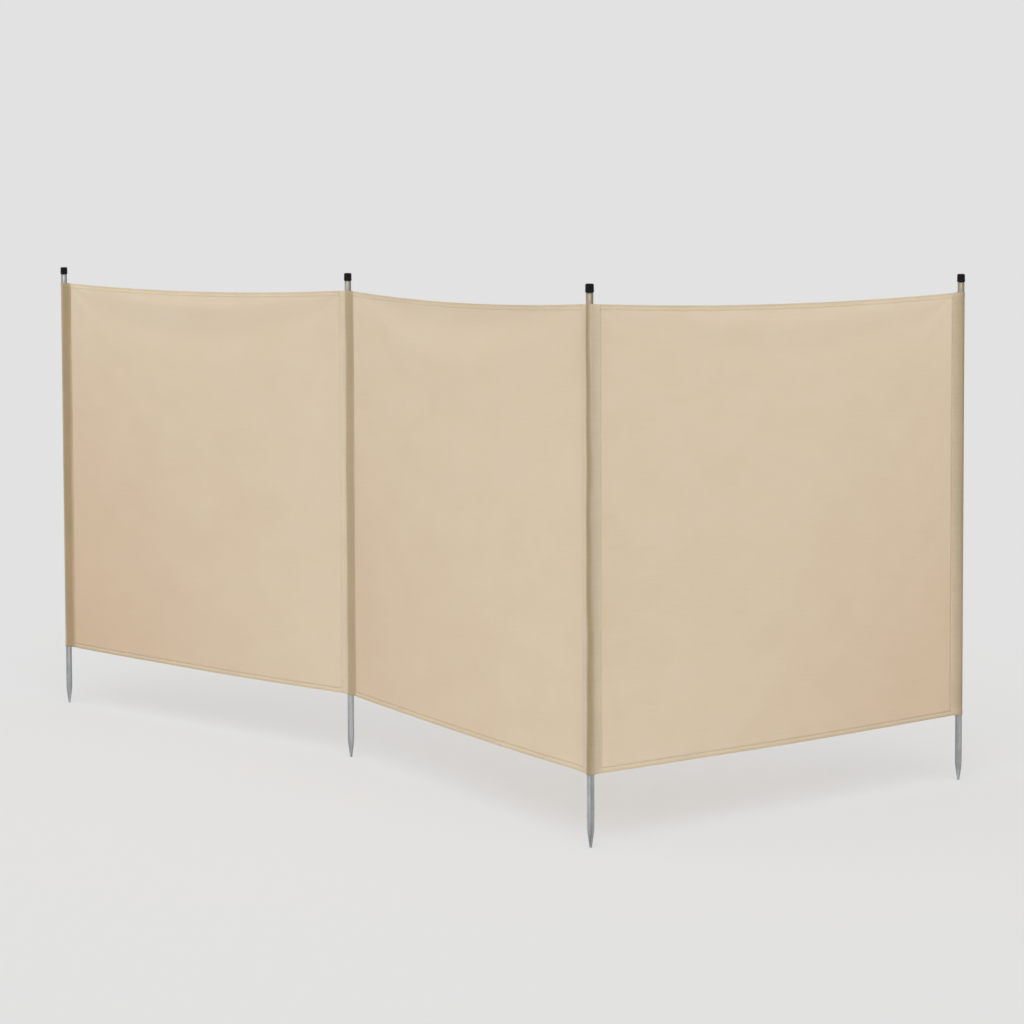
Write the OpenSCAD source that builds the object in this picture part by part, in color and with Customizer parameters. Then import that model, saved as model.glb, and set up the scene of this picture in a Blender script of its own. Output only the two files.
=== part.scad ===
// Beach windbreak: three bays of canvas on four pointed steel poles.
// The poles stand in pockets sewn into the cloth, and the bays fold about the two inner poles.
// Origin: the flat tip of pole 2. +X: along the middle bay to pole 3. +Z: up. Millimetres.

/* [Layout] */
// Distance between the axes of neighbouring poles
bay_length = 1333; // [600:1:2000]
// Bend between bay 1 and the middle bay at pole 2, towards -Y
bay_1_bend = 17; // [0:1:90]
// Bend between bay 3 and the middle bay at pole 3, towards +Y
bay_3_bend = 96; // [0:1:120]

/* [Poles] */
// Outer diameter of the steel tube
pole_d = 19; // [12:0.5:32]
// Wall of the steel tube
pole_wall = 1.2; // [0.8:0.1:2]
// Length of the drawn point at the lower end
point_length = 46; // [20:1:90]
// Diameter of the flat at the very tip
tip_d = 6; // [3:0.5:10]
// Solid metal above the tip, where the tube is closed
tip_solid = 16; // [8:1:18]

/* [Caps] */
// Wall of a cap round the tube
cap_wall = 1.9; // [1:0.1:6]
// Height of a cap
cap_height = 22; // [10:0.5:40]
// Thickness of the top of a cap, over the end of the tube
cap_top = 4; // [2:0.5:8]
// Rounding of the upper edge of a cap
cap_round = 2.5; // [0.5:0.5:4]

/* [Cloth] */
// Height of the cloth at the poles
cloth_height = 1200; // [600:1:1600]
// Height of the lower edge of the cloth above the tips, at the poles
cloth_above_tip = 188; // [100:1:400]
// Bare pole between the upper edge of the cloth and the underside of a cap
cloth_below_cap = 30; // [5:1:200]
// Thickness of a panel
cloth_t = 1; // [0.6:0.1:2]
// Sag of the upper edge at the middle of a bay
top_sag = 16; // [0:1:60]
// Sag of the lower edge at the middle of a bay
bottom_sag = 5; // [0:1:40]
// Height of the folded hems
hem_height = 12; // [6:1:30]
// Thickness of the hems and of the sewn seams beside a pocket
hem_t = 2; // [1.2:0.1:4]
// Width of a pocket laid flat, from seam line to seam line
pocket_w = 56; // [36:1:90]

/* [Fits] */
// Clearance between a pole and the pocket round it
pocket_gap = 0.3; // [0.2:0.1:2]
// Clearance between a pocket and the bays that turn about it
turn_gap = 0.3; // [0.2:0.1:2]
// Clearance between a pole and the bore of its cap
cap_gap = 0.1; // [0:0.05:0.3]

/* [Hidden] */
$fn = 64;
// Straight pieces in the curve of a sagging edge
sag_steps = 24;

pole_r = pole_d / 2;
cloth_bottom = cloth_above_tip;
cloth_top = cloth_bottom + cloth_height;
// Height of a pole from the tip of its point to the top of its cap
pole_height = cloth_top + cloth_below_cap + cap_height;
tube_height = pole_height - cap_top;
pocket_in_r = pole_r + pocket_gap;
pocket_out_r = pocket_in_r + cloth_t;
// The cloth of a bay runs from edge_u beside one pole to bay_length - edge_u beside the next
edge_u = pocket_out_r + turn_gap;
seam_w = pocket_w / 2 - edge_u;
cap_bore_r = pole_r + cap_gap;
cap_r = cap_bore_r + cap_wall;

// Where each pole stands, and for each bay the pole it starts from and the way it runs
bay_turn = [180 + bay_1_bend, 0, bay_3_bend];
bay_start = [[0, 0], [0, 0], [bay_length, 0]];
function along(bay, u) = bay_start[bay - 1] + u * [cos(bay_turn[bay - 1]), sin(bay_turn[bay - 1])];
pole_at = [along(1, bay_length), bay_start[1], bay_start[2], along(3, bay_length)];

// Height of a hanging edge: a parabola from the poles at height z down by sag at mid bay
function hang(u, z, sag) = z - 4 * sag * (u - edge_u) * (bay_length - edge_u - u)
    / pow(bay_length - 2 * edge_u, 2);
function edge_line(z, sag) = [for (i = [0 : sag_steps])
    let (u = edge_u + (bay_length - 2 * edge_u) * i / sag_steps) [u, hang(u, z, sag)]];
function reversed(points) = [for (i = [len(points) - 1 : -1 : 0]) points[i]];

// Outline between two hanging edges, over the whole width of a bay
module band(low_z, low_sag, high_z, high_sag) {
    polygon(concat(edge_line(low_z, low_sag), reversed(edge_line(high_z, high_sag))));
}

// The stretch of an outline from u_from to u_to along the bay
module stretch(u_from, u_to) {
    intersection() {
        children();
        translate([u_from, 0]) square([u_to - u_from, pole_height]);
    }
}

// Stands an outline of a bay up as a sheet, centred on the line between its poles
module sheet(bay, thickness) {
    translate([bay_start[bay - 1][0], bay_start[bay - 1][1], 0])
        rotate([90, 0, bay_turn[bay - 1]])
            translate([0, 0, -thickness / 2]) linear_extrude(thickness) children();
}

// The cloth between the two hems
module between_hems() {
    band(cloth_bottom + hem_height, bottom_sag, cloth_top - hem_height, top_sag);
}

// Steel tube, drawn to a blunt point at its lower end and open under the cap
module pole(number) {
    color("lightslategray") translate(pole_at[number - 1]) rotate_extrude()
        polygon([
            [0, 0], [tip_d / 2, 0], [pole_r, point_length], [pole_r, tube_height],
            [pole_r - pole_wall, tube_height], [pole_r - pole_wall, point_length], [0, tip_solid]
        ]);
}

// Moulded end cap, pushed over the top of a tube, with its upper edge rounded
module cap(number) {
    color("black") translate([pole_at[number - 1][0], pole_at[number - 1][1], pole_height - cap_height])
        rotate_extrude() difference() {
            union() {
                square([cap_r, cap_height - cap_round]);
                square([cap_r - cap_round, cap_height]);
                translate([cap_r - cap_round, cap_height - cap_round])
                    intersection() {
                        circle(cap_round);
                        square(cap_round);
                    }
            }
            square([cap_bore_r, cap_height - cap_top]);
        }
}

// Round pocket of cloth that holds a pole
module pocket(number) {
    color("tan") translate([pole_at[number - 1][0], pole_at[number - 1][1], cloth_bottom])
        difference() {
            cylinder(r = pocket_out_r, h = cloth_height);
            translate([0, 0, -1]) cylinder(r = pocket_in_r, h = cloth_height + 2);
        }
}

// Single cloth of a bay, between its hems and its seams
module panel(bay) {
    color("wheat") sheet(bay, cloth_t)
        stretch(edge_u + seam_w, bay_length - edge_u - seam_w) between_hems();
}

// Folded hem along the upper edge of a bay
module top_hem(bay) {
    color("burlywood") sheet(bay, hem_t)
        band(cloth_top - hem_height, top_sag, cloth_top, top_sag);
}

// Folded hem along the lower edge of a bay
module bottom_hem(bay) {
    color("burlywood") sheet(bay, hem_t)
        band(cloth_bottom, bottom_sag, cloth_bottom + hem_height, bottom_sag);
}

// Doubled cloth that is sewn together beside a pocket, at the near or the far pole of a bay
module seam(bay, far_pole) {
    u_from = far_pole ? bay_length - edge_u - seam_w : edge_u;
    color("burlywood") sheet(bay, hem_t) stretch(u_from, u_from + seam_w) between_hems();
}

for (i = [1 : 4]) {
    pole(i);
    cap(i);
    pocket(i);
}
for (i = [1 : 3]) {
    panel(i);
    top_hem(i);
    bottom_hem(i);
}
seam(1, true);  // seam_1_at_pole_1
seam(1, false);  // seam_1_at_pole_2
seam(2, false);  // seam_2_at_pole_2
seam(2, true);  // seam_2_at_pole_3
seam(3, false);  // seam_3_at_pole_3
seam(3, true);  // seam_3_at_pole_4
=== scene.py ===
import math
import bpy
import numpy as np
from mathutils import Matrix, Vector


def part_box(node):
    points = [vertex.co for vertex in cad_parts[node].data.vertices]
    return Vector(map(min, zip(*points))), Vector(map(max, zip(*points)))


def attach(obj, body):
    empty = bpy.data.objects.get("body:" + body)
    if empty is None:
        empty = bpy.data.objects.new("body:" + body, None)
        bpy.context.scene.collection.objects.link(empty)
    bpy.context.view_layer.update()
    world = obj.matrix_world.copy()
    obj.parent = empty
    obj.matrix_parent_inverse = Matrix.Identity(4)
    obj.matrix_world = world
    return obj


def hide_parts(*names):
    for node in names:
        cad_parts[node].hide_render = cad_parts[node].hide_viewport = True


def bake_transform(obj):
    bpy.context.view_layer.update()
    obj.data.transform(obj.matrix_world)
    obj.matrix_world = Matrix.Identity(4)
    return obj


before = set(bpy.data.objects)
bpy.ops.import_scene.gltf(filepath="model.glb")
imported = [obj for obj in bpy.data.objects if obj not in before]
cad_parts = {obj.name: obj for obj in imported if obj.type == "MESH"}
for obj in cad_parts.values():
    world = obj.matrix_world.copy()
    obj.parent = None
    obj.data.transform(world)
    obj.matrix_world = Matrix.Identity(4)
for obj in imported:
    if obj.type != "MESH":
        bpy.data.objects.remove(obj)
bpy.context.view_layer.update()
print("frame loaded")

# Where the poles stand, and the sizes of the cloth, in metres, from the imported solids
mm = 0.001
poleNumbers = (1, 2, 3, 4)
bayNumbers = (1, 2, 3)


def axisOf(node):
    # The middle of a node's box, seen from above
    low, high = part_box(node)
    return np.array([(low.x + high.x) / 2, (low.y + high.y) / 2])


poleAt = {i: axisOf(f"pole_{i}") for i in poleNumbers}
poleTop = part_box("cap_2")[1].z
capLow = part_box("cap_2")[0].z
poleRadius = (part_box("pole_2")[1].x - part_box("pole_2")[0].x) / 2
capRadius = (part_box("cap_2")[1].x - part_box("cap_2")[0].x) / 2
clothLow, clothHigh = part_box("pocket_2")[0].z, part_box("pocket_2")[1].z
pocketRadius = (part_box("pocket_2")[1].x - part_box("pocket_2")[0].x) / 2
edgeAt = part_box("seam_2_at_pole_2")[0].x  # where a bay's cloth starts beside a pole
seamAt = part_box("seam_2_at_pole_2")[1].x  # the seam line of a pocket
topHemBox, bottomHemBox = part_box("top_hem_2"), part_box("bottom_hem_2")

cloth = {
    "thickness": 0.7 * mm,
    "hemHeight": 12 * mm,
    "flange": 6 * mm,  # cloth sewn down beyond a pocket's seam line
    "flangeOffset": 0.76 * mm,  # middle of a sewn layer from the middle of the panel
    "hemStart": 5 * mm,  # a hem starts this far beyond the seam line
    "tucked": 0.5 * mm,  # a panel's edge goes this far into its hems and under the sewn layers
}
topSag = topHemBox[1].z - topHemBox[0].z - cloth["hemHeight"]
bottomSag = bottomHemBox[1].z - bottomHemBox[0].z - cloth["hemHeight"]

# Each bay: the pole it starts from, the one it ends at, and which side of its line is the front
bayEnds = {1: (2, 1, -1), 2: (2, 3, 1), 3: (3, 4, 1)}
bays = {}
for number, (first, last, side) in bayEnds.items():
    run = poleAt[last] - poleAt[first]
    length = float(np.hypot(*run))
    along = run / length
    bays[number] = {
        "start": poleAt[first],
        "along": along,
        "front": side * np.array([along[1], -along[0]]),
        "length": length,
        "poles": (first, last),
    }


def smooth(x):
    # 0 below 0, 1 above 1, and 3x^2 - 2x^3 between them
    x = np.clip(x, 0, 1)
    return x * x * (3 - 2 * x)


def sagAt(u, length, deepest):
    # How far an edge hangs down: a parabola from pole to pole with its deepest place at mid bay
    span = length - 2 * edgeAt
    w = np.clip(u - edgeAt, 0, span)
    return 4 * deepest * w * (span - w) / span ** 2


def hangTop(u, length):
    # The upper edge: the cloth's height less its sag
    return clothHigh - sagAt(u, length, topSag)


def hangBottom(u, length):
    # The lower edge: the cloth's foot less its sag
    return clothLow - sagAt(u, length, bottomSag)


def toWorld(bay, u, n, z):
    # A point u along the bay, n towards its front and z up
    b = bays[bay]
    u, n, z = np.broadcast_arrays(u, n, z)
    plan = b["start"] + u[..., None] * b["along"] + n[..., None] * b["front"]
    return np.concatenate([plan, z[..., None]], axis=-1)


# Meshes. A part is (points, faces as rows of four, uv of each point, which faces are flat)
# A triangle repeats one of its points

def outwards(points, faces):
    # The faces turned so that the solid's signed volume is above zero
    a, b, c, d = (points[faces[:, i]] for i in range(4))
    volume = (np.cross(a, b) * c).sum() + (np.cross(a, c) * d).sum()
    return faces if volume > 0 else faces[:, ::-1]


def gridFaces(rows, columns, closed=False):
    # Quads between neighbouring rows and columns; closed joins the last column to the first
    index = np.arange(rows * columns).reshape(rows, columns)
    if closed:
        index = np.concatenate([index, index[:, :1]], axis=1)
    return np.stack([index[:-1, :-1], index[1:, :-1], index[1:, 1:], index[:-1, 1:]], axis=-1).reshape(-1, 4)


def surfaceNormals(grid):
    # The cross product of the grid's two directions, at unit length
    across = np.cross(np.gradient(grid, axis=0), np.gradient(grid, axis=1))
    return across / np.maximum(np.linalg.norm(across, axis=-1, keepdims=True), 1e-12)


def sheetPart(grid, uv, thickness):
    # A grid of points given a thickness: half of it to each side along the normals, and a rim round its edges
    rows, columns = grid.shape[:2]
    lift = surfaceNormals(grid) * thickness / 2
    points = np.concatenate([(grid + lift).reshape(-1, 3), (grid - lift).reshape(-1, 3)])
    top = gridFaces(rows, columns)
    below = top[:, ::-1] + rows * columns
    index = np.arange(rows * columns).reshape(rows, columns)
    loop = np.concatenate([index[:-1, 0], index[-1, :-1], index[:0:-1, -1], index[0, :0:-1]])
    onward = np.roll(loop, -1)
    rim = np.stack([onward, loop, loop + rows * columns, onward + rows * columns], axis=1)
    faces = np.concatenate([top, below, rim])
    flat = np.arange(len(faces)) >= len(top) + len(below)
    return points, outwards(points, faces), np.concatenate([uv.reshape(-1, 2)] * 2), flat


def ringPart(rings, uv):
    # Closed rings joined one to the next, with a fan to a middle point at each end
    rows, columns = rings.shape[:2]
    points = np.concatenate([rings.reshape(-1, 3), rings[:1].mean(axis=1), rings[-1:].mean(axis=1)])
    uvAll = np.concatenate([uv.reshape(-1, 2), uv[0].mean(axis=0)[None], uv[-1].mean(axis=0)[None]])
    start = np.arange(columns)
    onward = np.roll(start, -1)
    low, high = rows * columns, rows * columns + 1
    last = (rows - 1) * columns
    fanLow = np.stack([start, onward, np.full(columns, low), np.full(columns, low)], axis=1)
    fanHigh = np.stack([onward + last, start + last, np.full(columns, high), np.full(columns, high)], axis=1)
    faces = np.concatenate([gridFaces(rows, columns, closed=True), fanLow, fanHigh])
    return points, outwards(points, faces), uvAll, np.zeros(len(faces), bool)


def makePiece(name, parts, material, shaded=None):
    # All parts in one mesh, with their uv in metres; shaded holds a number for each point, the amount of
    # painted shade (on the steel, of painted reflection of the cloth), which the material reads as a share of
    # its second colour
    points, faces, uv, flat = [], [], [], []
    count = 0
    for p, f, t, k in parts:
        points.append(p)
        faces.append(f + count)
        uv.append(t)
        flat.append(k)
        count += len(p)
    points, faces, uv, flat = (np.concatenate(x) for x in (points, faces, uv, flat))
    keep = np.ones(faces.shape, bool)
    keep[:, 3] = faces[:, 2] != faces[:, 3]
    keep[:, 0] = faces[:, 0] != faces[:, 1]
    total = keep.sum(axis=1)
    corners = faces[keep]
    mesh = bpy.data.meshes.new(name)
    mesh.vertices.add(len(points))
    mesh.vertices.foreach_set("co", points.astype(np.float32).ravel())
    mesh.loops.add(len(corners))
    mesh.loops.foreach_set("vertex_index", corners.astype(np.int32))
    mesh.polygons.add(len(faces))
    mesh.polygons.foreach_set("loop_start", np.concatenate([[0], np.cumsum(total)[:-1]]).astype(np.int32))
    mesh.polygons.foreach_set("loop_total", total.astype(np.int32))
    layer = mesh.uv_layers.new(name="clothUV")
    layer.data.foreach_set("uv", uv[corners].astype(np.float32).ravel())
    mesh.update(calc_edges=True)
    mesh.polygons.foreach_set("use_smooth", ~flat)
    mesh.validate()
    if shaded is not None:
        mesh.attributes.new("shaded", "FLOAT", "POINT").data.foreach_set("value", shaded.astype(np.float32))
    mesh.materials.append(material)
    piece = bpy.data.objects.new(name, mesh)
    bpy.context.scene.collection.objects.link(piece)
    return piece


# Materials

class Wire:
    # One socket of a node tree; sums on it add Math nodes
    def __init__(self, tree, socket=None):
        self.tree, self.socket = tree, socket

    def node(self, kind, settings=None, inputs=None, output=0):
        # Adds a node: its settings first, then the values or wires of its inputs
        made = self.tree.nodes.new(kind)
        for key, value in (settings or {}).items():
            if key == "stops":
                ramp = made.color_ramp
                while len(ramp.elements) < len(value):
                    ramp.elements.new(0.5)
                for element, (place, colour) in zip(ramp.elements, value):
                    element.position, element.color = place, colour
            else:
                setattr(made, key, value)
        for key, value in (inputs or {}).items():
            if isinstance(value, Wire):
                self.tree.links.new(value.socket, made.inputs[key])
            else:
                made.inputs[key].default_value = value
        return Wire(self.tree, made.outputs[output]) if len(made.outputs) else None

    def maths(self, operation, a, b):
        return self.node("ShaderNodeMath", {"operation": operation}, {0: a, 1: b})

    def __add__(self, other):
        return self.maths("ADD", self, other)

    def __radd__(self, other):
        return self.maths("ADD", other, self)

    def __sub__(self, other):
        return self.maths("SUBTRACT", self, other)

    def __rsub__(self, other):
        return self.maths("SUBTRACT", other, self)

    def __mul__(self, other):
        return self.maths("MULTIPLY", self, other)

    def __rmul__(self, other):
        return self.maths("MULTIPLY", other, self)


def newMaterial(name):
    material = bpy.data.materials.new(name)
    material.use_nodes = True
    material.node_tree.nodes.clear()
    return material, Wire(material.node_tree)


def mixColour(pen, factor, a, b, blend="MIX"):
    settings = {"data_type": "RGBA", "blend_type": blend}
    return pen.node("ShaderNodeMix", settings, {0: factor, 6: a, 7: b}, output=2)


def noiseAt(pen, where, stretch, scale, detail, rough):
    # Noise on a place stretched by three numbers
    placed = pen.node("ShaderNodeMapping", {}, {"Vector": where, "Scale": stretch})
    return pen.node("ShaderNodeTexNoise", {}, {
        "Vector": placed, "Scale": scale, "Detail": detail, "Roughness": rough})


def ranged(pen, value, low, high, toLow, toHigh):
    # Carries low to high over to toLow to toHigh, and holds the ends beyond them
    return pen.node("ShaderNodeMapRange", {}, {
        "Value": value, "From Min": low, "From Max": high, "To Min": toLow, "To Max": toHigh})


def attributeAt(pen, name):
    return pen.node("ShaderNodeAttribute", {"attribute_name": name}, output=2)


canvasLook = {
    "colour": (0.917, 0.827, 0.694, 1),
    "shade": (0.882, 0.772, 0.621, 1),
    "light": (0.951, 0.876, 0.762, 1),
    "unshadedTint": (1.046, 1.08, 1.10, 1),  # what the colour is multiplied by where the painted shade is least
    "paintedShadeTint": (0.835, 0.714, 0.63, 1),  # and where the painted shade is deepest
    "doubled": (0.975, 0.875, 0.70, 1),  # two layers without a pole between them
    "paintedShadow": (0.486, 0.373, 0.226, 1),  # painted shadow where a tube or a fold stops the light from behind
    "threads": 1.0 / (0.95 * mm),  # threads to a metre
    "weaveDepth": 0.12 * mm,
    "weaveStrength": 0.5,
    "through": 0.62,  # share of light that goes on through the cloth
    "throughDoubled": 0.45,
    "throughStopped": 0.31,
    # Stretch, scale, detail and roughness of each noise
    "slub": ((9.0, 210.0, 1.0), 1.0, 2.0, 0.6),
    "slubUp": ((230.0, 7.0, 1.0), 1.0, 1.0, 0.5),
    "blotch": ((1.0, 1.3, 1.0), 7.0, 3.0, 0.55),
    "patch": ((1.0, 0.8, 1.0), 2.2, 1.0, 0.5),
    "toneShares": (0.38, 0.14, 0.3, 0.18),  # of the four noises, in the same order
    "toneStops": (0.34, 0.5, 0.66),  # where the tone is the shade, the colour and the light
    "heightShares": (0.5, 0.7, 0.4),  # of the weave and the two slubs
    "uneven": (0.3, 0.7, 0.9, 1.1),  # a low and a high tone, and what they multiply the doubled colour by
    "roughness": 0.92,
    "gloss": 0.2,
    "sheen": 0.12,
    "sheenRoughness": 0.5,
}


def canvasMaterial(name, doubled):
    # Plain weave: two crossed sets of ridges that take turns on top, slubs along the weft, soft blotches, and
    # painted shade
    look = canvasLook
    material, pen = newMaterial(name)
    uv = pen.node("ShaderNodeUVMap", {"uv_map": "clothUV"})
    split = pen.node("ShaderNodeSeparateXYZ", {}, {0: uv})
    across, up = split, Wire(pen.tree, split.socket.node.outputs[1])
    weft = pen.maths("SINE", across * (look["threads"] * math.pi), 0.0)
    warp = pen.maths("SINE", up * (look["threads"] * math.pi), 0.0)
    weave = weft * warp
    slub, slubUp, blotch, patch = (
        noiseAt(pen, uv, *look[name]) for name in ("slub", "slubUp", "blotch", "patch"))
    ofSlub, ofSlubUp, ofBlotch, ofPatch = look["toneShares"]
    tone = slub * ofSlub + slubUp * ofSlubUp + blotch * ofBlotch + patch * ofPatch
    shaded = attributeAt(pen, "shaded")
    if doubled:
        # From two bare layers to a painted shadow where a tube or a fold stops the light behind
        over = mixColour(pen, shaded, look["doubled"], look["paintedShadow"])
        uneven = ranged(pen, tone, *look["uneven"])
        base = pen.node("ShaderNodeVectorMath", {"operation": "SCALE"}, {0: over, "Scale": uneven})
        share = look["throughDoubled"] - shaded * (look["throughDoubled"] - look["throughStopped"])
        behind = look["doubled"]
    else:
        stops = list(zip(look["toneStops"], (look["shade"], look["colour"], look["light"])))
        plain = pen.node("ShaderNodeValToRGB", {"stops": stops}, {0: tone})
        # Painted shade: a warm darkening towards one pole and the lower edge, multiplied into the colour
        paintedShade = mixColour(pen, shaded, look["unshadedTint"], look["paintedShadeTint"])
        base = mixColour(pen, 1.0, plain, paintedShade, "MULTIPLY")
        share, behind = look["through"], look["colour"]
    ofWeave, ofSlub, ofSlubUp = look["heightShares"]
    height = weave * ofWeave + slub * ofSlub + slubUp * ofSlubUp
    bump = pen.node("ShaderNodeBump", {}, {
        "Height": height, "Strength": look["weaveStrength"], "Distance": look["weaveDepth"]})
    cover = pen.node("ShaderNodeBsdfPrincipled", {}, {
        "Base Color": base, "Roughness": look["roughness"], "Specular IOR Level": look["gloss"],
        "Sheen Weight": look["sheen"], "Sheen Roughness": look["sheenRoughness"], "Normal": bump})
    through = pen.node("ShaderNodeBsdfTranslucent", {}, {"Color": behind, "Normal": bump})
    both = pen.node("ShaderNodeMixShader", {}, {0: share, 1: cover, 2: through})
    pen.node("ShaderNodeOutputMaterial", {}, {"Surface": both})
    return material


threadLook = {
    "colour": (0.74, 0.62, 0.46, 1),
    "dark": 0.8,  # share of the colour in its darkest spots
    "twist": 260.0,
    "waver": 0.4,
    "spots": ((1.0, 1.0, 1.0), 60.0, 2.0, 0.5),
    "roughness": 0.7,
    "bump": 0.4,
    "bumpDepth": 0.1 * mm,
}


def threadMaterial():
    # Twisted sewing thread: fine slanting ridges over a slightly uneven colour
    look = threadLook
    material, pen = newMaterial("sewing_thread")
    place = pen.node("ShaderNodeTexCoord", output=3)
    ridge = pen.node("ShaderNodeTexWave", {"bands_direction": "DIAGONAL"}, {
        "Vector": place, "Scale": look["twist"], "Distortion": look["waver"]}, output=1)
    tone = noiseAt(pen, place, *look["spots"])
    dark = tuple(look["dark"] * c for c in look["colour"][:3]) + (1,)
    base = mixColour(pen, tone, dark, look["colour"])
    bump = pen.node("ShaderNodeBump", {}, {
        "Height": ridge, "Strength": look["bump"], "Distance": look["bumpDepth"]})
    skin = pen.node("ShaderNodeBsdfPrincipled", {}, {
        "Base Color": base, "Roughness": look["roughness"], "Normal": bump})
    pen.node("ShaderNodeOutputMaterial", {}, {"Surface": skin})
    return material


steelLook = {
    "colour": (0.52, 0.54, 0.56, 1),
    "dull": (0.25, 0.26, 0.27, 1),
    "paintedClothReflection": (0.36, 0.30, 0.22, 1),  # painted reflection of the beige cloth on the bare steel above it, just under the cap
    "clothReflectionShare": {1: 0.35, 2: 0.6, 3: 0.95, 4: 0.95},  # how much of that each pole has
    "clothReflectionFrom": -5 * mm,  # from the cloth's upper edge, where it starts and where it is full
    "clothReflectionTo": 3 * mm,
    "scratched": (0.22, 0.21, 0.2, 1),  # where the point goes into the ground
    "scratches": 0.45,
    "groundReach": 0.13,
    # Stretch, scale, detail and roughness of each noise
    "drawn": ((900.0, 900.0, 4.0), 1.0, 2.0, 0.6),
    "cloudy": ((60.0, 60.0, 28.0), 1.0, 3.0, 0.6),
    "scuff": ((420.0, 420.0, 90.0), 1.0, 4.0, 0.7),
    "reflectionStreak": ((150.0, 150.0, 1.5), 1.0, 1.0, 0.5),
    "scuffRange": (0.46, 0.66),
    "shineShares": (0.3, 0.7),  # of the plating's clouds and the painted reflection streaks
    "shineRange": (0.36, 0.64),
    "roughness": 0.22,
    "roughShares": (0.16, 0.12, 0.2),  # added by the drawing lines, the clouds and the scratches
    "heightShares": (0.6, 0.8),  # of the drawing lines and the scuffs
    "bump": 0.35,
    "bumpDepth": 0.06 * mm,
    "metallic": 0.85,
}


def steelMaterial():
    # Zinc-plated tube: drawing lines along it, cloudy plating with painted reflection streaks, scuffs near the
    # ground, and a painted reflection of the cloth just above the cloth
    look = steelLook
    material, pen = newMaterial("zinc_plated_steel")
    place = pen.node("ShaderNodeTexCoord", output=3)
    drawn, cloudy, scuff, reflectionStreak = (
        noiseAt(pen, place, *look[name]) for name in ("drawn", "cloudy", "scuff", "reflectionStreak"))
    split = pen.node("ShaderNodeSeparateXYZ", {}, {0: place})
    height = Wire(pen.tree, split.socket.node.outputs[2])
    nearGround = ranged(pen, height, 0.0, look["groundReach"], 1.0, 0.0)
    worn = ranged(pen, scuff, *look["scuffRange"], 0.0, 1.0) * nearGround
    # Lighter and darker steel: the plating's real clouds, and painted reflection streaks along the tube
    ofClouds, ofReflectionStreaks = look["shineShares"]
    shine = ranged(pen, cloudy * ofClouds + reflectionStreak * ofReflectionStreaks, *look["shineRange"], 0.0, 1.0)
    plating = mixColour(pen, shine, look["dull"], look["colour"])
    # Painted reflection of the beige cloth on the bare steel just above it
    nearCap = ranged(pen, height, clothHigh + look["clothReflectionFrom"], clothHigh + look["clothReflectionTo"], 0.0, 1.0)
    plating = mixColour(pen, nearCap * attributeAt(pen, "shaded"), plating, look["paintedClothReflection"])
    base = mixColour(pen, worn * look["scratches"], plating, look["scratched"])
    byLines, byClouds, byWear = look["roughShares"]
    rough = drawn * byLines + cloudy * byClouds + worn * byWear + look["roughness"]
    ofLines, ofScuffs = look["heightShares"]
    bump = pen.node("ShaderNodeBump", {}, {
        "Height": drawn * ofLines + scuff * nearGround * ofScuffs,
        "Strength": look["bump"], "Distance": look["bumpDepth"]})
    skin = pen.node("ShaderNodeBsdfPrincipled", {}, {
        "Base Color": base, "Roughness": rough, "Metallic": look["metallic"], "Normal": bump})
    pen.node("ShaderNodeOutputMaterial", {}, {"Surface": skin})
    return material


capLook = {
    "colour": (0.003, 0.003, 0.0032, 1),
    "rubbed": (0.008, 0.008, 0.0083, 1),
    "grain": ((1.0, 1.0, 1.0), 1900.0, 2.0, 0.5),
    "rub": ((1.0, 1.0, 1.0), 170.0, 3.0, 0.6),
    "roughness": 0.35,
    "rubRoughness": 0.2,
    "shine": 0.12,
    "bump": 0.3,
    "bumpDepth": 0.08 * mm,
}


def capMaterial():
    # Moulded plastic: a fine eggshell grain, a little paler where hands rub it
    look = capLook
    material, pen = newMaterial("black_moulded_plastic")
    place = pen.node("ShaderNodeTexCoord", output=3)
    grain, rub = noiseAt(pen, place, *look["grain"]), noiseAt(pen, place, *look["rub"])
    base = mixColour(pen, rub, look["colour"], look["rubbed"])
    rough = rub * look["rubRoughness"] + look["roughness"]
    bump = pen.node("ShaderNodeBump", {}, {
        "Height": grain, "Strength": look["bump"], "Distance": look["bumpDepth"]})
    skin = pen.node("ShaderNodeBsdfPrincipled", {}, {
        "Base Color": base, "Roughness": rough, "Specular IOR Level": look["shine"], "Normal": bump})
    pen.node("ShaderNodeOutputMaterial", {}, {"Surface": skin})
    return material


canvas, doubledCanvas = canvasMaterial("beige_canvas", False), canvasMaterial("beige_canvas_doubled", True)
thread, steel, capPlastic = threadMaterial(), steelMaterial(), capMaterial()
print("materials made")

# How the cloth of each bay leaves its flat plane: what the simulation gives, with the drag of its corners

slackLook = {
    "columns": 97,
    "rows": 89,
    "extra": 0.0016,  # spare length of the cloth, as a share
    "frames": 30,
    "most": 9 * mm,  # no point leaves the plane by more
    "keep": 0.27,  # share of the hung shape that is kept, as the poles are pulled apart
    "seeds": {1: 11, 2: 23, 3: 37},
    "belly": {1: 3 * mm, 2: 4 * mm, 3: 5 * mm},
    # Height, count, shortest and longest of the waves it starts with, and of the two sets laid over it
    "startWaves": (1.2 * mm, 5, 0.25, 0.7),
    "broadWaves": (1.5 * mm, 4, 0.35, 0.8),
    "fineWaves": (0.45 * mm, 6, 0.07, 0.18),
    "sewnFade": 0.03,  # the cloth comes flat this near to the sewn layers
    "settings": {
        "quality": 8, "mass": 0.08, "air_damping": 4.0, "tension_stiffness": 60, "compression_stiffness": 60,
        "shear_stiffness": 25, "bending_stiffness": 0.8, "tension_damping": 15, "compression_damping": 15,
        "shear_damping": 15,
    },
}


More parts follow.
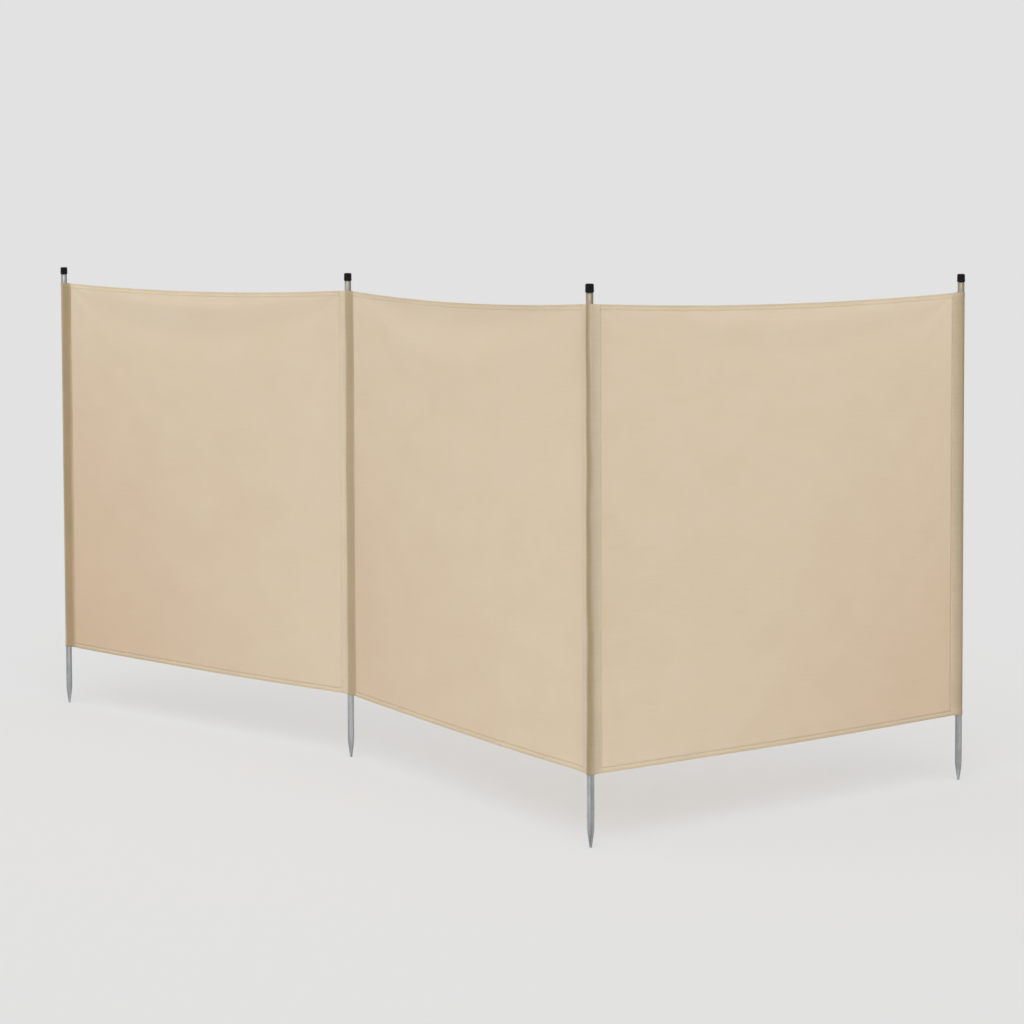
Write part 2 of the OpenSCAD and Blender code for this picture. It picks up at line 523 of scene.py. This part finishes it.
def waves(u, z, seed, count, shortest, longest):
    # A sum of slanted cosines of seeded lengths, turns and starts, mostly within 1
    pick = np.random.default_rng(seed)
    total = np.zeros(np.broadcast(u, z).shape)
    for i in range(count):
        size = pick.uniform(shortest, longest)
        turn, start = pick.uniform(0, math.pi), pick.uniform(0, 2 * math.pi)
        total = total + np.cos(2 * math.pi * (u * math.cos(turn) + z * math.sin(turn)) / size + start)
    return total / count ** 0.5


def simulateBay(number):
    # A flat grid pinned at both seams and hung with a little spare length: its way out of the plane
    look = slackLook
    b = bays[number]
    rows, columns = look["rows"], look["columns"]
    u = np.linspace(seamAt, b["length"] - seamAt, columns)
    z = np.linspace(clothLow, clothHigh, rows)
    gridU, gridZ = np.meshgrid(u, z)
    s = (gridU - seamAt) / (b["length"] - 2 * seamAt)
    high, *lengths = look["startWaves"]
    start = high * waves(gridU, gridZ, look["seeds"][number], *lengths)
    n = look["belly"][number] * 4 * s * (1 - s) + start * np.sin(math.pi * s)
    points = np.stack([gridU, -n, gridZ], axis=-1).reshape(-1, 3)
    mesh = bpy.data.meshes.new("slack")
    mesh.from_pydata(points.tolist(), [], gridFaces(rows, columns).tolist())
    hung = bpy.data.objects.new("slack", mesh)
    bpy.context.scene.collection.objects.link(hung)
    held = hung.vertex_groups.new(name="held")
    index = np.arange(rows * columns).reshape(rows, columns)
    held.add([int(i) for i in np.concatenate([index[:, 0], index[:, -1]])], 1.0, "REPLACE")
    hanging = hung.modifiers.new("hang", "CLOTH")
    for key, value in look["settings"].items():
        setattr(hanging.settings, key, value)
    hanging.settings.vertex_group_mass = "held"
    hanging.settings.shrink_min = -look["extra"]
    hanging.collision_settings.use_collision = False
    hanging.point_cache.frame_start, hanging.point_cache.frame_end = 1, look["frames"]
    scene = bpy.context.scene
    for step in range(1, look["frames"] + 1):
        scene.frame_set(step)
    shown = hung.evaluated_get(bpy.context.evaluated_depsgraph_get())
    found = np.zeros(rows * columns * 3, np.float32)
    shown.data.vertices.foreach_get("co", found)
    scene.frame_set(1)
    bpy.data.objects.remove(hung, do_unlink=True)
    bpy.data.meshes.remove(mesh)
    return -found.reshape(rows, columns, 3)[..., 1].astype(float)


slack = {}
for number in bayNumbers:
    slack[number] = simulateBay(number)
    furthest = float(np.abs(slack[number]).max()) / mm
    print("bay", number, "hung, at most", round(furthest, 1), "mm out of its plane")

cornerLook = {
    "slope": 0.30,
    "reach": 0.34,
    "start": 0.02,
    "below": 6 * mm,  # the corner's creases start this far under the edge
    "width": 13 * mm,
    "narrowest": 0.5,  # share of that width at the seam
    "widens": 5,  # by this for each metre from the seam
    "wider": 0.4,  # and by this from one crease to the next
    "depth": 2.6 * mm,
    "creases": [(1, 1.0), (2.1, -0.6), (3.6, 0.4)],  # each one's slope and depth, as shares of the first's
    # Puckers beside the seams: their height, reach, count, shortest and longest
    "puckers": (0.5 * mm, 16 * mm, 5, 0.016, 0.045),
}


def sampled(table, s, t):
    # Bilinear reading of a table, with s along its rows' length and t up its rows, both 0 to 1
    rows, columns = table.shape
    x, y = np.clip(s, 0, 1) * (columns - 1), np.clip(t, 0, 1) * (rows - 1)
    i, j = np.minimum(x.astype(int), columns - 2), np.minimum(y.astype(int), rows - 2)
    x, y = x - i, y - j
    return (table[j, i] * (1 - x) * (1 - y) + table[j, i + 1] * x * (1 - y)
            + table[j + 1, i] * (1 - x) * y + table[j + 1, i + 1] * x * y)


def outOfPlane(number, u, z):
    # The hung shape, creases down from the upper corners, puckers beside the seams and two sets of soft
    # waves, all fading to nothing where the cloth is sewn to the pockets
    look, corner = slackLook, cornerLook
    length = bays[number]["length"]
    s = (u - seamAt) / (length - 2 * seamAt)
    t = (z - clothLow) / (clothHigh - clothLow)
    seed = look["seeds"][number]
    n = np.clip(look["keep"] * sampled(slack[number], s, t), -look["most"], look["most"])
    for step, name in enumerate(("broadWaves", "fineWaves"), 1):
        high, *lengths = look[name]
        n = n + high * waves(u, z, seed + step, *lengths)
    pucker, puckerReach, *lengths = corner["puckers"]
    for fromEnd in (u - seamAt, length - seamAt - u):
        for part, (steeper, share) in enumerate(corner["creases"]):
            line = clothHigh - corner["below"] - corner["slope"] * steeper * fromEnd
            spread = corner["narrowest"] + corner["widens"] * np.clip(fromEnd, 0, None) + corner["wider"] * part
            width = corner["width"] * spread
            fade = smooth(fromEnd / corner["start"]) * (1 - smooth(fromEnd / corner["reach"]))
            n = n + share * corner["depth"] * fade * np.exp(-((z - line) / width) ** 2)
        gather = np.exp(-np.clip(fromEnd - cloth["flange"], 0, None) / puckerReach)
        n = n + pucker * gather * waves(z, 0 * z, seed + 3, *lengths)
    inside = seamAt + cloth["flange"]
    return n * smooth((u - inside) / look["sewnFade"]) * smooth((length - inside - u) / look["sewnFade"])


# Panels, hems, pockets and stitches

panelLook = {
    "rows": 150,
    "columns": 200,
    "rollOn": 1.7,  # the weave of one bay is set on from the last by this, in metres
}

paintedShadeLook = {
    # For each bay's painted shade, a warm darkening: the pole it deepens towards (0 its first, 1 its last), the
    # amount at its palest, how much is added at the deepest, and the powers with which it grows along the bay
    # and down it
    1: (1, 0.2, 0.8, 1.0, 0.7),
    2: (0, 0.1, 0.55, 1.2, 0.5),
    3: (1, 0.02, 0.74, 1.25, 0.5),
}


def paintedShadeAt(number, s, t):
    # Painted shade at a share s along the bay and t up it: palest + added * (share towards its pole)^p * (share
    # down)^q
    towards, palest, added, p, q = paintedShadeLook[number]
    reach = np.clip(s if towards else 1 - s, 0, 1)
    return palest + added * reach ** p * np.clip(1 - t, 0, 1) ** q


def panelPart(number):
    # Rows from the lower to the upper edge, columns from seam to seam
    length = bays[number]["length"]
    side = seamAt + cloth["flange"] - cloth["tucked"]
    u = side + (length - 2 * side) * np.linspace(0, 1, panelLook["columns"])
    v = np.linspace(0, 1, panelLook["rows"])[:, None]
    inside = cloth["hemHeight"] - cloth["tucked"]
    low, high = hangBottom(u, length) + inside, hangTop(u, length) - inside
    z = low + (high - low) * v
    u = np.broadcast_to(u, z.shape)
    grid = toWorld(number, u, outOfPlane(number, u, z), z)
    # Painted shade of each point, on both faces of the panel
    paintedShade = np.tile(paintedShadeAt(number, u / length, v + 0 * u).ravel(), 2)
    uv = np.stack([u + number * panelLook["rollOn"], z], axis=-1)
    return sheetPart(grid, uv, cloth["thickness"]), paintedShade


hemLook = {
    # Half thickness of the fold at each depth below the edge, both in millimetres
    "section": [(0.0, 0.0), (0.15, 0.55), (0.6, 0.95), (1.6, 1.2), (4.5, 1.26),
                (7.5, 1.12), (9.4, 0.84), (10.4, 0.8), (11.4, 0.84), (12.0, 0.7)],
    # Painted shade at the same depths: how far the light from behind is taken to be stopped
    "paintedShadow": [0.55, 0.55, 0.55, 0.52, 0.45, 0.3, 0.1, 0, 0, 0],
    "paintedShade": 0.4,  # share of the panel's painted shade that is added, less the amount below
    "paintedShadeFrom": 0.2,
    "columns": 320,
    "waver": 0.35 * mm,
    "waverWaves": (6, 0.02, 0.09),  # count, shortest and longest
    "swells": 0.12,  # the fold's thickness wavers by this share
    "weaveOn": 4 * mm,  # the weave on the fold is set on from the panel's by this
}


def hemPart(number, upper):
    # A rounded fold carried along a hanging edge: the section's depth runs into the cloth from the edge
    look = hemLook
    length = bays[number]["length"]
    start = seamAt + cloth["hemStart"]
    u = np.linspace(start, length - start, look["columns"])[:, None]
    section = np.array(look["section"]) * mm
    depth = np.concatenate([section[:, 0], section[:0:-1, 0]])
    half = np.concatenate([section[:, 1], -section[:0:-1, 1]])
    seed = slackLook["seeds"][number] + (5 if upper else 6)
    waver = waves(u, 0 * u, seed, *look["waverWaves"])
    into = -1 if upper else 1  # the way from the edge into the cloth
    edge = hangTop(u, length) if upper else hangBottom(u, length)
    z = edge + 0.5 * look["waver"] * waver * into + into * depth
    u = u + 0 * z
    n = outOfPlane(number, u, z) + half * (1 + look["swells"] * waver)
    # Painted shade: darker towards the fold's edge, with part of the panel's painted shade
    paintedShadow = np.array(look["paintedShadow"])
    paintedShadow = np.concatenate([paintedShadow, paintedShadow[:0:-1]])
    paintedShade = look["paintedShade"] * (paintedShadeAt(number, u / length, 1.0 if upper else 0.0) - look["paintedShadeFrom"])
    shaded = np.append((paintedShadow + paintedShade).ravel(), [paintedShadow.mean()] * 2)
    uv = np.stack([u + number * panelLook["rollOn"], z + look["weaveOn"] + half], axis=-1)
    return ringPart(toWorld(number, u, n, z), uv), shaded


# Painted shadow of each pole on each layer of its pocket, as (pole, layer): how dark it is at distances in
# millimetres along the layer from its middle
poleShadows = {
    (1, 0): [(-54, 0), (-46, 0.3), (-25, 0.7), (-12, 0.8), (8, 0.6), (15, 0.7),
             (20, 1), (40, 1), (48, 0.8), (53, 0.3), (56, 0)],
    (2, 0): [(-40, 0), (-26, 0.2), (-12, 0.6), (12, 0.6), (26, 0.2), (40, 0)],
    (2, 1): [(-39, 0), (-35, 0.4), (-31, 0.8), (-27, 0.85), (-4, 0.8),
             (-1, 0.6), (3, 0.1), (24, 0.05), (32, 0)],
    (3, 0): [(-44, 0), (-30, 0.05), (-12, 0.15), (-8, 1), (-3, 1), (1, 0.7),
             (5, 0.35), (13, 0.15), (26, 0.04), (46, 0)],
    (3, 1): [(-34, 0), (-24, 0.15), (-9, 0.7), (9, 0.7), (24, 0.15), (34, 0)],
    (4, 0): [(-54, 0), (-46, 0.4), (-24, 0.7), (-14, 1), (6, 1), (20, 0.8), (46, 0.3), (54, 0)],
}

# From the top of a pocket to its foot: how far the pole's painted shadow wanders along the layer, and the share
# by which it widens
poleShadowWanders = {3: (8 * mm, 0.45)}

pocketLook = {
    "tangentSteps": 9,
    "arcSteps": 13,
    "flangeSteps": 4,
    "rows": 150,
    "rowsToEnds": 0.35,  # share of the rows' places that crowds them towards both ends
    "hemLift": 0.45 * mm,  # a doubled band at each end stands out by this
    "hemFade": 1.2 * mm,
    "liftFrom": 1 * mm,  # the band leaves the pocket for the sewn layers this far from the seam line
    "creaseDepth": 0.8 * mm,
    "creaseFade": 4 * mm,
    "creaseStretch": 2.5,
    "creaseWaves": (5, 0.05, 0.22),  # count, shortest and longest
    "deepest": 0.2 * mm,  # no crease goes further in towards the pole
    # The pole's painted shadow wavers along the layer by this, over these waves
    "shadowWaver": 1.5 * mm,
    "shadowWaves": (4, 0.15, 0.7),
    "poleOn": 0.37,  # sets the weave of one pocket on from the next, and of one layer from the other
    "layerOn": 0.2,
    "blendFrom": 1 * mm,  # beside poles 2 and 3, a point on each bay is found this far beyond the seam lines
}


def pocketPlan(startAngle, sweep):
    # Plan of one layer in polar form about the pole: from the seam at startAngle straight to the tube, round
    # it, and straight to the seam that lies sweep further on; gives angle, radius, the share of the flange's
    # offset, and which points are nearer the first seam
    look = pocketLook
    layer = pocketRadius - cloth["thickness"]
    touch = math.acos(layer / seamAt)
    reach = min(touch, abs(sweep) / 2)
    share = np.linspace(0, 1, look["tangentSteps"])[:-1]
    toTube = (touch - np.arctan((1 - share) * math.tan(touch))) / touch
    radius = layer / np.cos(touch * (1 - toTube))
    arc = np.linspace(reach, abs(sweep) - reach, look["arcSteps"])
    angle = np.concatenate([toTube * reach, arc, abs(sweep) - toTube[::-1] * reach])
    radius = np.concatenate([radius, np.full(look["arcSteps"], layer), radius[::-1]])
    out = np.linspace(cloth["flange"], 0, look["flangeSteps"], endpoint=False)
    angle = np.concatenate([0 * out, angle, 0 * out + abs(sweep)])
    radius = np.concatenate([seamAt + out, radius, seamAt + out[::-1]])
    offset = np.clip((radius - layer) / (seamAt - layer), 0, 1) ** 0.5
    first = np.arange(len(angle)) < len(angle) / 2
    return startAngle + math.copysign(1, sweep) * angle, radius, offset, first


def pocketLayer(pole, layer, startAngle, sweep, bayFirst):
    # One layer of a pocket: the plan at every height, with folds up it, a doubled band at each end, and the
    # pole's painted shadow
    look = pocketLook
    seed = 50 + 7 * pole + layer
    angle, radius, offset, first = pocketPlan(startAngle, sweep)
    spin = math.copysign(1, sweep)
    even = np.linspace(0, 1, look["rows"])
    v = (smooth(even) * look["rowsToEnds"] + even * (1 - look["rowsToEnds"]))[:, None]
    length = bays[bayFirst]["length"]
    low, high = hangBottom(radius, length), hangTop(radius, length)
    z = low + (high - low) * v
    steps = np.hypot(np.diff(radius * np.cos(angle)), np.diff(radius * np.sin(angle)))
    run = np.concatenate([[0], np.cumsum(steps)])
    fromEdge = np.minimum(z - low, high - z)
    band = look["hemLift"] * (1 - smooth((fromEdge - cloth["hemHeight"]) / look["hemFade"]))
    onPocket = radius < seamAt - look["liftFrom"]
    inside = smooth((seamAt - radius) / look["creaseFade"])
    inside = inside * smooth((radius - pocketRadius) / look["creaseFade"] + 0.25)
    folds = waves(run[None, :] * look["creaseStretch"], z, seed, *look["creaseWaves"])
    folds = np.maximum(look["creaseDepth"] * inside * folds, -look["deepest"])
    r = radius + 0 * z + band * onPocket + folds
    # Beside the seam the layer lies on the panel: its offset is square to the bay it is sewn to
    side = cloth["flangeOffset"] * offset + band * ~onPocket
    square = np.where(first, startAngle + spin * math.pi / 2, startAngle + sweep - spin * math.pi / 2)
    x = poleAt[pole][0] + r * np.cos(angle) + side * np.cos(square)
    y = poleAt[pole][1] + r * np.sin(angle) + side * np.sin(square)
    uv = np.stack([run + 0 * z + pole * look["poleOn"] + layer * look["layerOn"], z], axis=-1)
    # Painted shadow of the pole on this layer, read from its table, wandering and widening towards the foot
    place = run - run[-1] / 2 + look["shadowWaver"] * waves(0 * run, z, seed + 3, *look["shadowWaves"])
    wanders, widens = poleShadowWanders.get(pole, (0, 0))
    place = (place - wanders * (1 - v)) * (1 - widens * (1 - v))
    shaded = np.tile(np.interp(place / mm, *np.array(poleShadows[pole, layer]).T).ravel(), 2)
    return sheetPart(np.stack([x, y, z], axis=-1), uv, cloth["thickness"]), shaded, run[-1]


stitchLook = {
    "pitch": 4.6 * mm,
    "length": 3.2 * mm,
    "width": 0.34 * mm,
    "sunk": 0.12 * mm,
    "sides": 5,
    "body": 0.3,  # each end ring lies this share of the length from the middle
    "dip": 0.9,  # the ends dip by this share of the width
    "seamRows": (1.2 * mm, 4.6 * mm),  # beyond the seam line
    "seamLow": 4 * mm,
    "seamHigh": 3 * mm,
    "hemRow": 9.9 * mm,  # from the edge
    "hemOut": 0.76 * mm,
    "hemClear": 2 * mm,
}


def stitchParts(places, ahead, outward):
    # A short closed capsule at every place, along ahead and resting on the cloth: two rings between two ends
    look = stitchLook
    count = len(places)
    turnTo = np.arange(look["sides"]) * 2 * math.pi / look["sides"]
    ahead = ahead / np.linalg.norm(ahead, axis=1, keepdims=True)
    outward = outward / np.linalg.norm(outward, axis=1, keepdims=True)
    across = np.cross(ahead, outward)
    middle = places + outward * (look["width"] / 2 - look["sunk"])
    ring = np.cos(turnTo)[:, None, None] * across + np.sin(turnTo)[:, None, None] * outward
    ring = ring.transpose(1, 0, 2) * look["width"]
    back = middle[:, None] - ahead[:, None] * look["length"] * look["body"] + ring
    fore = middle[:, None] + ahead[:, None] * look["length"] * look["body"] + ring
    dip = outward * look["width"] * look["dip"]
    half = ahead * look["length"] / 2
    ends = np.stack([middle - half - dip, middle + half - dip], axis=1)
    points = np.concatenate([back, fore, ends], axis=1)
    k = look["sides"]
    one = []
    for i in range(k):
        j = (i + 1) % k
        one += [[i, j, k + j, k + i], [j, i, 2 * k, 2 * k], [k + i, k + j, 2 * k + 1, 2 * k + 1]]
    faces = (np.array(one)[None] + (np.arange(count) * points.shape[1])[:, None, None]).reshape(-1, 4)
    points = points.reshape(-1, 3)
    return points, outwards(points, faces), np.zeros((len(points), 2)), np.zeros(len(faces), bool)


def seamStitches(number):
    # Two rows up each seam of a bay, on both faces
    b, look = bays[number], stitchLook
    parts = []
    for fromSeam in look["seamRows"]:
        for u in (seamAt + fromSeam, b["length"] - (seamAt + fromSeam)):
            low = hangBottom(u, b["length"]) + look["seamLow"]
            high = hangTop(u, b["length"]) - look["seamHigh"]
            z = np.arange(low, high, look["pitch"])
            count = len(z)
            nearEdge = np.minimum(z - clothLow, clothHigh - z) < cloth["hemHeight"]
            for face in (1, -1):
                n = np.full(count, face * (cloth["flangeOffset"] + cloth["thickness"] / 2))
                n = n + face * pocketLook["hemLift"] * nearEdge
                ahead = np.tile([0.0, 0.0, 1.0], (count, 1))
                outward = np.tile([*(face * b["front"]), 0.0], (count, 1))
                parts.append(stitchParts(toWorld(number, np.full(count, u), n, z), ahead, outward))
    return parts


def hemStitches(number):
    # One row along each hem, on both faces
    b, look = bays[number], stitchLook
    parts = []
    start = seamAt + cloth["flange"] + look["hemClear"]
    u = np.arange(start, b["length"] - start, look["pitch"])
    for upper in (True, False):
        z = hangTop(u, b["length"]) - look["hemRow"] if upper else hangBottom(u, b["length"]) + look["hemRow"]
        for face in (1, -1):
            place = toWorld(number, u, outOfPlane(number, u, z) + face * look["hemOut"], z)
            outward = np.tile([*(face * b["front"]), 0.0], (len(u), 1))
            parts.append(stitchParts(place, np.gradient(place, axis=0), outward))
    return parts


for number in bayNumbers:
    b = bays[number]
    part, shaded = panelPart(number)
    panel = makePiece(f"panel_{number}_cloth", [part], canvas, shaded)
    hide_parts(f"panel_{number}")
    extra = []
    for place, upper in (("top", True), ("bottom", False)):
        part, shaded = hemPart(number, upper)
        hem = makePiece(f"{place}_hem_{number}_fold", [part], doubledCanvas, shaded)
        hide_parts(f"{place}_hem_{number}")
        extra.append(hem)
    stitches = makePiece(f"stitches_{number}", seamStitches(number) + hemStitches(number), thread)
    extra.append(stitches)
    for piece in [panel, *extra]:
        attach(piece, f"bay_{number}")
    b["length"] - 2 * seamAt
print("panels, hems and stitches made")

# Each pocket: the bays sewn to it, and the layers as (angle of its first seam, sweep to the other)
angleOf = {n: math.atan2(bays[n]["along"][1], bays[n]["along"][0]) for n in bayNumbers}
turn = 2 * math.pi
atTwo = (angleOf[1] - angleOf[2]) % turn  # from bay 2 round to bay 1 at pole 2
atThree = (angleOf[3] - (angleOf[2] + math.pi)) % turn  # from bay 2 round to bay 3 at pole 3
pocketLayers = {
    1: [(angleOf[1] + math.pi, turn, 1)],
    2: [(angleOf[2], atTwo, 2), (angleOf[2], atTwo - turn, 2)],
    3: [(angleOf[2] + math.pi, atThree, 2), (angleOf[2] + math.pi, atThree - turn, 2)],
    4: [(angleOf[3] + math.pi, turn, 3)],
}
seamNodes = {
    1: ["seam_1_at_pole_1"],
    2: ["seam_1_at_pole_2", "seam_2_at_pole_2"],
    3: ["seam_2_at_pole_3", "seam_3_at_pole_3"],
    4: ["seam_3_at_pole_4"],
}
for pole in poleNumbers:
    made = [pocketLayer(pole, i, *layer) for i, layer in enumerate(pocketLayers[pole])]
    layers, shaded, widths = zip(*made)
    pocket = makePiece(f"pocket_{pole}_cloth", layers, doubledCanvas, np.concatenate(shaded))
    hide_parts(f"pocket_{pole}", *seamNodes[pole])
    away = seamAt + pocketLook["blendFrom"]
    if pole == 2:
        start = poleAt[2] + away * bays[1]["along"]
        end = poleAt[2] + away * bays[2]["along"]
        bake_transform(pocket)
    elif pole == 3:
        start = poleAt[3] - away * bays[2]["along"]
        end = poleAt[3] + away * bays[3]["along"]
        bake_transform(pocket)
    else:
        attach(pocket, "bay_1" if pole == 1 else "bay_3")
print("pockets made")

poleLook = {
    "segments": 72,
    "point": 46 * mm,
    "tip": 3 * mm,
    "shoulder": 0.75 * mm,  # how softly the point runs into the tube
    "rounding": [(0, 1.1), (0.4, 0.45), (1.2, 0.12)],  # height above the tip and what the radius loses, in mm
    "pointRings": (2.5 * mm, 62 * mm, 36),  # from, to and how many
    "tubeRings": (75 * mm, 24),  # from, and how many
    "straight": 70 * mm,  # the tube is plain above this
    "underCap": 5 * mm,  # it ends this far below the cap's top
    "flute": 0.16,
    "flutes": 4,
    "fluteAt": 0.6,  # middle and reach of the pressed flats, as shares of the point
    "fluteReach": 0.36,
    "fluteEdge": 1.5,
}


def turned(number, r, z):
    # Rings of radius r at the heights z round a pole's axis, and their uv in metres
    turnTo = np.arange(r.shape[1]) * turn / r.shape[1]
    x, y = poleAt[number]
    z = z[:, None] + 0 * r
    rings = np.stack([x + r * np.cos(turnTo), y + r * np.sin(turnTo), z], axis=-1)
    return rings, turnTo + 0 * r, z


def polePart(number):
    # The tube turned round its axis: a straight tube, a rounded shoulder and a point with four pressed flats
    look = poleLook
    heights, lost = (np.array(look["rounding"]) * mm).T
    tubeFrom, tubeCount = look["tubeRings"]
    tube = np.linspace(tubeFrom, poleTop - look["underCap"], tubeCount)
    z = np.concatenate([heights, np.linspace(*look["pointRings"]), tube])
    taper = look["tip"] + (poleRadius - look["tip"]) * z / look["point"]
    soft = look["shoulder"]
    radius = poleRadius - soft * np.logaddexp(0, (poleRadius - taper) / soft)
    radius = np.where(z > look["straight"], poleRadius, np.maximum(radius, 0))
    radius[:len(lost)] -= lost
    share = np.exp(-((z / look["point"] - look["fluteAt"]) / look["fluteReach"]) ** 2)
    turnTo = np.arange(look["segments"]) * turn / look["segments"]
    pressed = (0.5 + 0.5 * np.cos(look["flutes"] * turnTo)) ** look["fluteEdge"]
    r = radius[:, None] * (1 - look["flute"] * share[:, None] * pressed)
    rings, angle, z = turned(number, r, z)
    return ringPart(rings, np.stack([angle * poleRadius, z], axis=-1))


capShape = {
    # Radius less than the cap's own, and height above its lower rim, in millimetres
    "profile": [(1.5, 0), (0.5, 0), (0.12, 0.15), (0, 0.6), (0, 2.2), (0.15, 2.7), (0.35, 3.0),
                (0.4, 8), (0.5, 16), (0.6, 18.4), (0.85, 19.8), (1.5, 20.9), (2.5, 21.6),
                (3.8, 21.9), (6, 22), (10.5, 22)],
    "segments": 72,
}


def capPart(number):
    # The profile turned round the pole's axis
    less, up = (np.array(capShape["profile"]) * mm).T
    z = capLow + up * (poleTop - capLow) / up.max()
    r = np.repeat((capRadius - less)[:, None], capShape["segments"], axis=1)
    rings, angle, z = turned(number, r, z)
    return ringPart(rings, np.stack([angle * capRadius, z], axis=-1))


poleBody = {1: "bay_1", 2: "bay_2", 3: "bay_2", 4: "bay_3"}
for number in poleNumbers:
    part = polePart(number)
    # Each pole's share of the painted reflection of the cloth above it
    tube = makePiece(f"pole_{number}_tube", [part], steel, np.full(len(part[0]), steelLook["clothReflectionShare"][number]))
    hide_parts(f"pole_{number}")
    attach(tube, poleBody[number])
    cap = makePiece(f"cap_{number}_moulding", [capPart(number)], capPlastic)
    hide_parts(f"cap_{number}")
    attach(cap, poleBody[number])
print("poles and caps made")

# Floor, light and camera

stageLook = {
    "floor": (0.86, 0.86, 0.86, 1),
    "sky": (0.761, 0.761, 0.761, 1),
    "sun": 0.50,
    "sunAngle": 50,
    "sunFrom": (0.84, -0.54),
    "sunHeight": 52,
    "floorSize": 400,
    "floorGlow": 0.52,
    "brightSide": (0.411, -0.911, 0.0),  # where the room is brightest, and by how much
    "brighter": 0.5,
}


def floorMaterial():
    material, pen = newMaterial("pale_floor")
    # Part of its light is its own, as of a lit table, which keeps the shadows on it soft
    skin = pen.node("ShaderNodeBsdfDiffuse", {}, {"Color": stageLook["floor"]})
    glow = pen.node("ShaderNodeEmission", {}, {"Color": stageLook["sky"]})
    both = pen.node("ShaderNodeMixShader", {}, {0: stageLook["floorGlow"], 1: skin, 2: glow})
    pen.node("ShaderNodeOutputMaterial", {}, {"Surface": both})
    return material


half = stageLook["floorSize"] / 2
corners = [(-half, -half, 0), (half, -half, 0), (half, half, 0), (-half, half, 0)]
floorMesh = bpy.data.meshes.new("floor")
floorMesh.from_pydata(corners, [], [(0, 1, 2, 3)])
floorMesh.materials.append(floorMaterial())
floor = bpy.data.objects.new("floor", floorMesh)
bpy.context.scene.collection.objects.link(floor)

world = bpy.data.worlds.new("studio")
world.use_nodes = True
world.node_tree.nodes.clear()
pen = Wire(world.node_tree)
# The room is brighter on one side than on the other, behind an even backdrop
way = pen.node("ShaderNodeTexCoord", output=0)
towards = pen.node(
    "ShaderNodeVectorMath", {"operation": "DOT_PRODUCT"}, {0: way, 1: stageLook["brightSide"]}, output=1)
seen = pen.node("ShaderNodeLightPath", output=0)
strength = seen + (1 - seen) * (towards * stageLook["brighter"] + 1.0)
room = pen.node("ShaderNodeBackground", {}, {"Color": stageLook["sky"], "Strength": strength})
pen.node("ShaderNodeOutputWorld", {}, {"Surface": room})
bpy.context.scene.world = world
sun = bpy.data.lights.new("softbox", "SUN")
sun.energy, sun.angle = stageLook["sun"], math.radians(stageLook["sunAngle"])
lamp = bpy.data.objects.new("softbox", sun)
fromX, fromY = stageLook["sunFrom"]
lamp.rotation_euler = (math.radians(90 - stageLook["sunHeight"]), 0, math.atan2(fromY, fromX) + math.pi / 2)
bpy.context.scene.collection.objects.link(lamp)

cameraLook = {
    "place": (7.0920, -3.6402, 1.6407),
    "yaw": 59.355,  # degrees
    "down": 3.270,
    "roll": -0.214,
    "lens": 94.92,
    "sensor": 36,
    "shiftUp": -0.15,
    "seesTo": 1000,
}


def cameraTurn(yaw, down, roll):
    # The camera's axes as columns: right, up and backwards, from its yaw, its tilt down and its roll
    yaw, down, roll = (math.radians(a) for a in (yaw, down, roll))
    ahead = np.array([-math.sin(yaw) * math.cos(down), math.cos(yaw) * math.cos(down), -math.sin(down)])
    right = np.array([math.cos(yaw), math.sin(yaw), 0])
    up = np.cross(right, ahead)
    rolledRight = math.cos(roll) * right + math.sin(roll) * up
    rolledUp = -math.sin(roll) * right + math.cos(roll) * up
    return np.stack([rolledRight, rolledUp, -ahead], axis=1)


camera = bpy.data.objects.new("camera", bpy.data.cameras.new("camera"))
camera.data.lens = cameraLook["lens"]
camera.data.sensor_width = cameraLook["sensor"]
camera.data.shift_y = cameraLook["shiftUp"]
camera.data.clip_end = cameraLook["seesTo"]
placing = np.eye(4)
placing[:3, :3] = cameraTurn(cameraLook["yaw"], cameraLook["down"], cameraLook["roll"])
placing[:3, 3] = cameraLook["place"]
camera.matrix_world = Matrix(placing.tolist())
bpy.context.scene.collection.objects.link(camera)
bpy.context.scene.camera = camera
bpy.context.scene.view_settings.view_transform = "Standard"
print("stage, light and camera set")
